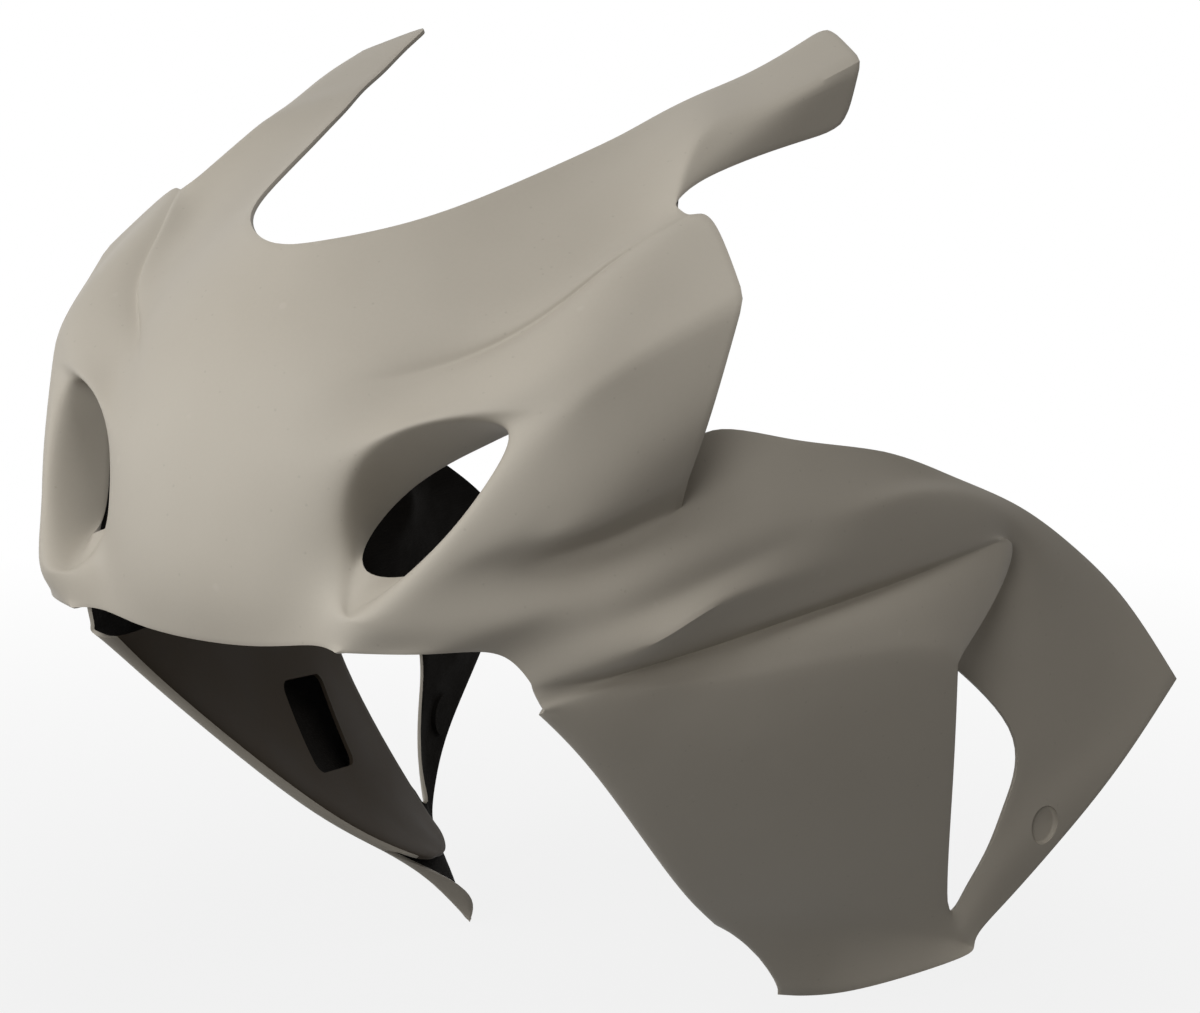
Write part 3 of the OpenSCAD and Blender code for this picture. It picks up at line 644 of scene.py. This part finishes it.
# %% Push the net out and round it
rounding = cowl.modifiers.new("rounding", "SUBSURF")
rounding.levels = rounding.render_levels = 2
rounding.use_limit_surface = False
rounded = cowl.evaluated_get(bpy.context.evaluated_depsgraph_get()).data
pulled_in = [rounded.vertices[point.index].co.copy() for point in cowl.data.vertices]
for point, low in zip(cowl.data.vertices, pulled_in):
    point.co = 2 * point.co - low
rounding.levels = rounding.render_levels = 3
rounding.use_limit_surface = True
bpy.ops.object.modifier_apply(modifier="rounding")
print("smooth skin:", len(cowl.data.polygons), "faces")

# %% [markdown]
# ## Wall thickness
# The laminate is 2.5 mm thick. A smaller copy could be put inside and sewn to the edges, but
# Solidify does both. It grows the wall inwards, so the outside keeps its size. Four
# stand-in materials hold the slots until the finishes are made. The face that Solidify adds
# takes the next slot after its own, which will hold bare laminate, and the cut edge keeps
# the slot of the outside. A small bevel takes the sharpness off the trimmed edges, as
# sandpaper does.

# %% Solidify and trim
wall = 2.5
trim_width = 0.4
for number in (gel_coated, bare, shade_painted, bare_behind):
    cowl.data.materials.append(bpy.data.materials.new("stand_in"))
thickness = cowl.modifiers.new("wall", "SOLIDIFY")
thickness.thickness = wall / 1000
thickness.offset = -1
thickness.material_offset = 1
thickness.material_offset_rim = 0
bpy.ops.object.modifier_apply(modifier="wall")
trim = cowl.modifiers.new("trim", "BEVEL")
trim.width = trim_width / 1000
trim.segments = 2
trim.limit_method = "ANGLE"
trim.angle_limit = math.radians(60)
bpy.ops.object.modifier_apply(modifier="trim")
print("with its wall:", len(cowl.data.polygons), "faces")

# %% [markdown]
# ## Fastener recesses
# Low on each rear leg a round recess takes the head of a fastener. The wall is too thin for
# it, so a disc is joined on behind it first, with its top just inside the wall. The cutter is
# a cylinder whose lower edge is bevelled, and the Boolean modifier leaves that rounding in
# the recess. Heights are measured outwards from the skin.

# %% Recesses in the rear legs
recess_radius = 13
recess_depth = 4
recess_wall = 2.5
recess_rounding = 2
boss_top = -2
cutter_top = 6
recess_place = mm(-146.008, 254.97, -208)
recess_axis = mm(0.259444, 0.965674, 0.0127895)


def mirrored(vector, side):
    return Vector((vector.x, side * vector.y, vector.z))


def add_plug(place, axis, radius, bottom, top):
    middle = place + axis * (bottom + top) / 2
    bpy.ops.object.select_all(action="DESELECT")
    bpy.ops.mesh.primitive_cylinder_add(
        vertices=96, radius=radius / 1000, depth=(top - bottom) / 1000,
        location=in_frame(middle), rotation=axis.to_track_quat("Z", "Y").to_euler())
    return bpy.context.object


def combine(tool, operation):
    select_only(cowl)
    change = cowl.modifiers.new("change", "BOOLEAN")
    change.operation = operation
    change.object = tool
    bpy.ops.object.modifier_apply(modifier="change")
    bpy.data.objects.remove(tool)


def wear(piece, finish_number):
    for slot in cowl.material_slots:
        piece.data.materials.append(slot.material)
    for face in piece.data.polygons:
        face.material_index = finish_number


def round_edges(piece, width, segments, wanted):
    select_only(piece)
    bpy.ops.object.mode_set(mode="EDIT")
    bpy.ops.mesh.select_mode(type="EDGE")
    bpy.ops.mesh.select_all(action="DESELECT")
    bpy.ops.object.mode_set(mode="OBJECT")
    for edge in piece.data.edges:
        edge.select = wanted([piece.data.vertices[number].co for number in edge.vertices])
    bpy.ops.object.mode_set(mode="EDIT")
    bpy.ops.mesh.bevel(offset=width / 1000, segments=segments)
    bpy.ops.object.mode_set(mode="OBJECT")


for side in (1, -1):
    place = mirrored(recess_place, side)
    axis = mirrored(recess_axis, side)
    boss = add_plug(
        place, axis, recess_radius + recess_wall, -recess_depth - recess_wall, boss_top)
    wear(boss, bare)
    combine(boss, "UNION")
    cutter = add_plug(place, axis, recess_radius, -recess_depth, cutter_top)
    round_edges(cutter, recess_rounding, 5, lambda ends: ends[0].z < 0 and ends[1].z < 0)
    combine(cutter, "DIFFERENCE")
print("with recesses:", len(cowl.data.polygons), "faces")

# %% [markdown]
# ## Openings in the inner skins
# Each inner skin has a square opening with rounded corners, for reaching the bolts behind
# it. Faces could be left out of the net instead, but the rounding would turn such a hole
# into an oval. So it is cut from the finished skin. The cutter is a flat box whose four
# upright edges are bevelled. It is turned into the slope of the skin, and the faces it leaves
# wear the painted shade of the inner skins.

# %% Square openings
hatch_length = 66
hatch_height = 68
hatch_corner = 9
cutter_depth = 14.5
hatch_place = mm(62.1342, 191.344, -161.173)
hatch_axis = mm(-0.329357, -0.843564, 0.424175)
hatch_level = mm(-0.931517, 0.363697, 0)
hatch_slope = math.radians(9)
for side in (1, -1):
    bpy.ops.object.select_all(action="DESELECT")
    bpy.ops.mesh.primitive_cube_add(size=1)
    cutter = bpy.context.object
    cutter.scale = (hatch_length / 1000, hatch_height / 1000, cutter_depth / 1000)
    bpy.ops.object.transform_apply(scale=True)
    round_edges(cutter, hatch_corner, 10, lambda ends: abs(ends[0].z - ends[1].z) > 0.01)
    along = (math.cos(hatch_slope) * hatch_level
             + math.sin(hatch_slope) * hatch_axis.cross(hatch_level))
    across = hatch_axis.cross(along)
    for point in cutter.data.vertices:
        place = 1000 * (point.co.x * along + point.co.y * across + point.co.z * hatch_axis)
        point.co = in_frame(mirrored(hatch_place - hatch_axis * wall / 2 + place, side))
    turn_outwards(cutter)
    # The cut faces wear the painted shade of the inner skins too
    wear(cutter, shade_painted)
    combine(cutter, "DIFFERENCE")
select_only(cowl)
bpy.ops.object.shade_smooth_by_angle(angle=math.radians(35))
print("finished cowl:", len(cowl.data.polygons), "faces")

# %% [markdown]
# ## Shader sums
# A finish is a tree of nodes. Writing each node and link by hand hides the idea, so a small
# class lets a socket take part in a sum: each operator adds a Math node. The bar means that
# either of two masks is on.

# %% Sums on sockets
class Signal:
    """A socket of a node tree, which can be used in a sum."""

    def __init__(self, tree, socket):
        self.tree = tree
        self.socket = socket

    def maths(self, operation, other):
        return self.tree.node("ShaderNodeMath", {"operation": operation}, {0: self, 1: other})

    def __add__(self, other):
        return self.maths("ADD", other)

    def __mul__(self, other):
        return self.maths("MULTIPLY", other)

    def __or__(self, other):
        return self.maths("MAXIMUM", other)

    __radd__ = __add__
    __rmul__ = __mul__
    __ror__ = __or__


print("a socket can be used in a sum")

# %% [markdown]
# ## Any node in one line
# Every other node comes from one method. It takes the kind of node, its settings, and a
# value or a link for each socket that is used. It works in the tree of a material and in
# that of the world.

# %% Tree
class Tree:
    """The nodes and links of a material or of the world."""

    def __init__(self, tree):
        self.nodes = tree.nodes
        self.links = tree.links

    def node(self, kind, settings=None, sockets=None, output=0):
        made = self.nodes.new(kind)
        for name, value in (settings or {}).items():
            if name == "stops":
                for stop, (position, shade) in zip(made.color_ramp.elements, value, strict=True):
                    stop.position = position
                    stop.color = (shade, shade, shade, 1)
            else:
                setattr(made, name, value)
        for name, value in (sockets or {}).items():
            self.feed(made.inputs[name], value)
        return Signal(self, made.outputs[output])

    def feed(self, socket, value):
        if isinstance(value, Signal):
            self.links.new(value.socket, socket)
        else:
            socket.default_value = value


print("a node can be added in one line")

# %% [markdown]
# ## Finishes
# A finish is a material with such a tree. It knows the few recipes that the finishes share:
# cloudy noise, small spots, a blend of two colours and relief. All of them are placed by
# object coordinates, which stay with the cowl.

# %% Finish
class Finish(Tree):
    """A material, its tree and its recipes."""

    def __init__(self, name):
        self.material = bpy.data.materials.new(name)
        self.material.use_nodes = True
        super().__init__(self.material.node_tree)
        self.shader = self.nodes["Principled BSDF"]
        self.place = self.node("ShaderNodeTexCoord", output="Object")

    def noise(self, scale, detail, roughness=0.5):
        return self.node("ShaderNodeTexNoise", None, {
            "Vector": self.place, "Scale": scale, "Detail": detail, "Roughness": roughness})

    def spots(self, scale, size):
        cells = self.node("ShaderNodeTexVoronoi", None, {"Vector": self.place, "Scale": scale})
        return self.node("ShaderNodeValToRGB", {"stops": [(size / 2, 1), (size, 0)]}, {0: cells})

    def blend(self, amount, one, other):
        # On this node the sockets 6 and 7 and the output 2 are the ones for colours
        return self.node("ShaderNodeMix", {"data_type": "RGBA"}, {0: amount, 6: one, 7: other}, 2)

    def relief(self, height, distance, below=None):
        sockets = {"Height": height, "Distance": distance, "Strength": 1.0}
        if below:
            sockets["Normal"] = below
        return self.node("ShaderNodeBump", None, sockets)


print("a finish knows its recipes")

# %% [markdown]
# ## Gel coat
# The outside is bare gel coat: a warm grey with a soft satin. Its tone drifts a little over a
# hand's width, and it has fine pits, small pale marks from sanding and an orange peel a few
# millimetres wide. Cloudy noise drives the tone and the gloss, and two relief layers give
# the peel and a long shallow wave from the mould. A picture of gel coat would need the folds
# and the ducts to be unwrapped. Noise in space runs over all of them without a seam.

# %% Gel coat
gel_coat = Finish("gel_coat")
gel_coat.shader.inputs["Specular IOR Level"].default_value = 0.12
drift = gel_coat.noise(7, 3, 0.55)
grain = gel_coat.noise(420, 2, 0.6)
pits = gel_coat.spots(90, 0.09)
marks = gel_coat.spots(23, 0.07)
tone = gel_coat.blend(drift, (0.39, 0.355, 0.3, 1), (0.46, 0.43, 0.372, 1))
tone = gel_coat.blend(grain * 0.16, tone, (0.52, 0.48, 0.42, 1))
tone = gel_coat.blend(pits * 0.18, tone, (0.2, 0.18, 0.15, 1))
tone = gel_coat.blend(marks * 0.12, tone, (0.6, 0.57, 0.52, 1))
gel_coat.feed(gel_coat.shader.inputs["Base Color"], tone)
gel_coat.feed(gel_coat.shader.inputs["Roughness"], 0.4 + drift * 0.14 + grain * 0.06 + marks * 0.1)
wave = gel_coat.relief(gel_coat.noise(16, 1), 0.0012)
peel = gel_coat.relief(gel_coat.noise(260, 1), 0.00002, wave)
gel_coat.feed(gel_coat.shader.inputs["Normal"], peel)
print("gel coat nodes:", len(gel_coat.nodes))

# %% [markdown]
# ## Bare laminate
# The inside shows the back of the laminate: near-black resin over chopped glass, rough and
# fibrous. Each fibre could be a curve, but only their streaks can be seen. Stretched noise
# at two turns gives those, and a coarse noise the thick and thin resin.

# %% Laminate
laminate = Finish("laminate")
laminate.shader.inputs["Specular IOR Level"].default_value = 0.04


def fibres(turn):
    stretched = laminate.node("ShaderNodeMapping", None, {
        "Vector": laminate.place, "Rotation": (0.4, 0.9, turn), "Scale": (60, 900, 900)})
    return laminate.node(
        "ShaderNodeTexNoise", None, {"Vector": stretched, "Scale": 1.0, "Detail": 2.0})


mat = fibres(0.3) + fibres(1.9)
resin = laminate.noise(45, 2, 0.6)
laminate.feed(laminate.shader.inputs["Base Color"],
              laminate.blend(mat * 0.5, (0.003, 0.003, 0.003, 1), (0.014, 0.012, 0.010, 1)))
laminate.feed(laminate.shader.inputs["Roughness"], 0.7 + resin * 0.25)
laminate.feed(laminate.shader.inputs["Normal"], laminate.relief(mat + resin, 0.0004))
print("laminate nodes:", len(laminate.nodes))

# %% [markdown]
# ## Painted shade on the inner skins
# The inner skins of the front panels are gel coat like the outside, but they lie in the shade
# under the beak. Their colour paints that shade in: a dark brown, a little paler where a cloudy
# noise is high.

# %% Painted shade on the inner skins
# Dark brown base colour: painted shade from under the beak, on gel coat
inner_painted_shade = Finish("inner_painted_shade")
inner_painted_shade.shader.inputs["Specular IOR Level"].default_value = 0.05
cloud = inner_painted_shade.noise(18, 3, 0.6)
inner_painted_shade.feed(inner_painted_shade.shader.inputs["Base Color"],
                inner_painted_shade.blend(cloud, (0.036, 0.028, 0.02, 1), (0.066, 0.052, 0.038, 1)))
inner_painted_shade.feed(inner_painted_shade.shader.inputs["Roughness"], 0.5 + cloud * 0.2)
inner_painted_shade.feed(inner_painted_shade.shader.inputs["Normal"],
                inner_painted_shade.relief(inner_painted_shade.noise(260, 1), 0.00004))
print("inner painted shade nodes:", len(inner_painted_shade.nodes))

# %% [markdown]
# ## Fill the slots
# The finishes take the places of the stand-ins, which are thrown away. Bare laminate fills
# two slots: behind the gel coat, and behind the painted shade of the inner skins.

# %% Finishes into the slots
# The third slot takes the painted shade of the inner skins
for number, finish in ((gel_coated, gel_coat), (bare, laminate), (shade_painted, inner_painted_shade),
                       (bare_behind, laminate)):
    stand_in = cowl.material_slots[number].material
    cowl.material_slots[number].material = finish.material
    bpy.data.materials.remove(stand_in)
    worn = sum(face.material_index == number for face in cowl.data.polygons)
    print(finish.material.name, "on", worn, "faces")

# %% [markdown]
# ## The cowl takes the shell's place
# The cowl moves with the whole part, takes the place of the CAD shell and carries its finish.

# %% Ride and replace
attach(cowl, "root")
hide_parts("fairing_shell")
print("cowl rides on root")

# %% [markdown]
# ## Rays that see white
# The picture has a white ground, but a white room would flood the cowl with light. A Light
# Path node tells what a ray is for. Rays from the camera, and those that are reflected or
# pass through something, are to see white. The rays that light the cowl are not.

# %% Rays that see white
def sees_white(tree):
    return (tree.node("ShaderNodeLightPath", output="Is Camera Ray")
            | tree.node("ShaderNodeLightPath", output="Is Glossy Ray")
            | tree.node("ShaderNodeLightPath", output="Is Transmission Ray"))


pure_white = {"Color": (1, 1, 1, 1), "Strength": 1.0}
print("white ground:", pure_white)

# %% [markdown]
# ## Floor
# The floor is a wide sheet. To the camera it is mostly pure white, and only near the cowl a
# part of it is lit, which carries the soft shadow. For light it is a dark grey, so that
# little light comes up from below.

# %% Floor
bpy.ops.object.select_all(action="DESELECT")
bpy.ops.mesh.primitive_plane_add(size=12, location=(0, 0, -0.0005))
floor = bpy.context.object
floor.name = "floor"
floor_finish = Finish("floor")
floor_finish.shader.inputs["Base Color"].default_value = (0.18, 0.18, 0.18, 1)
floor_finish.shader.inputs["Roughness"].default_value = 0.9
distance = floor_finish.node(
    "ShaderNodeVectorMath", {"operation": "LENGTH"}, {0: floor_finish.place}, "Value")
fade = floor_finish.node("ShaderNodeMapRange", None, {
    "Value": distance, "From Min": 0.3, "From Max": 1.6, "To Min": 0.86, "To Max": 1.0})
mixed = floor_finish.node("ShaderNodeMixShader", None, {
    0: sees_white(floor_finish) * fade,
    1: Signal(floor_finish, floor_finish.shader.outputs[0]),
    2: floor_finish.node("ShaderNodeEmission", None, pure_white)})
floor_finish.feed(floor_finish.nodes["Material Output"].inputs["Surface"], mixed)
floor.data.materials.append(floor_finish.material)
print("floor", floor.dimensions[:2])

# %% [markdown]
# ## World
# The world gives a weak warm light from all round, which keeps the shade on the side of the
# cowl soft. It could be a plain colour, but then it would be dark in the picture as well.

# %% World
world = bpy.data.worlds.new("studio")
bpy.context.scene.world = world
world.use_nodes = True
sky = Tree(world.node_tree)
sky.nodes.remove(sky.nodes["Background"])
faint = {"Color": (1, 0.9, 0.78, 1), "Strength": 0.1}
mixed = sky.node("ShaderNodeMixShader", None, {
    0: sees_white(sky),
    1: sky.node("ShaderNodeBackground", None, faint),
    2: sky.node("ShaderNodeBackground", None, pure_white)})
sky.feed(sky.nodes["World Output"].inputs["Surface"], mixed)
print("world nodes:", len(sky.nodes))

# %% [markdown]
# ## Lamps
# Four round lamps stand about two and a half metres off. The key is ahead of the beak and
# high. A weaker one ahead and to the left grazes the flank, so that the wedge and the far
# wall of the recess catch it and the groove stays dark. One on the right lights the far edge
# of the beak, and one above lights whatever faces up. The side keeps its own soft shade.

# %% Lamps
cowl_middle = Vector((0, 0, 0.3))


def add_lamp(name, place, size, power):
    bpy.ops.object.light_add(type="AREA", location=place)
    lamp = bpy.context.object
    lamp.name = name
    lamp.rotation_euler = (cowl_middle - Vector(place)).to_track_quat("-Z", "Y").to_euler()
    lamp.data.shape = "DISK"
    lamp.data.size = size
    lamp.data.energy = power


add_lamp("key", (2.3, -0.4, 1.6), 1.2, 30)
add_lamp("far_side", (1.2, -2.0, 0.8), 1.0, 12)
add_lamp("near_side", (2.4, 1.0, 1.1), 0.8, 17)
add_lamp("top", (0.6, 0.8, 2.6), 1.0, 11)
bpy.context.scene.view_settings.view_transform = "Standard"
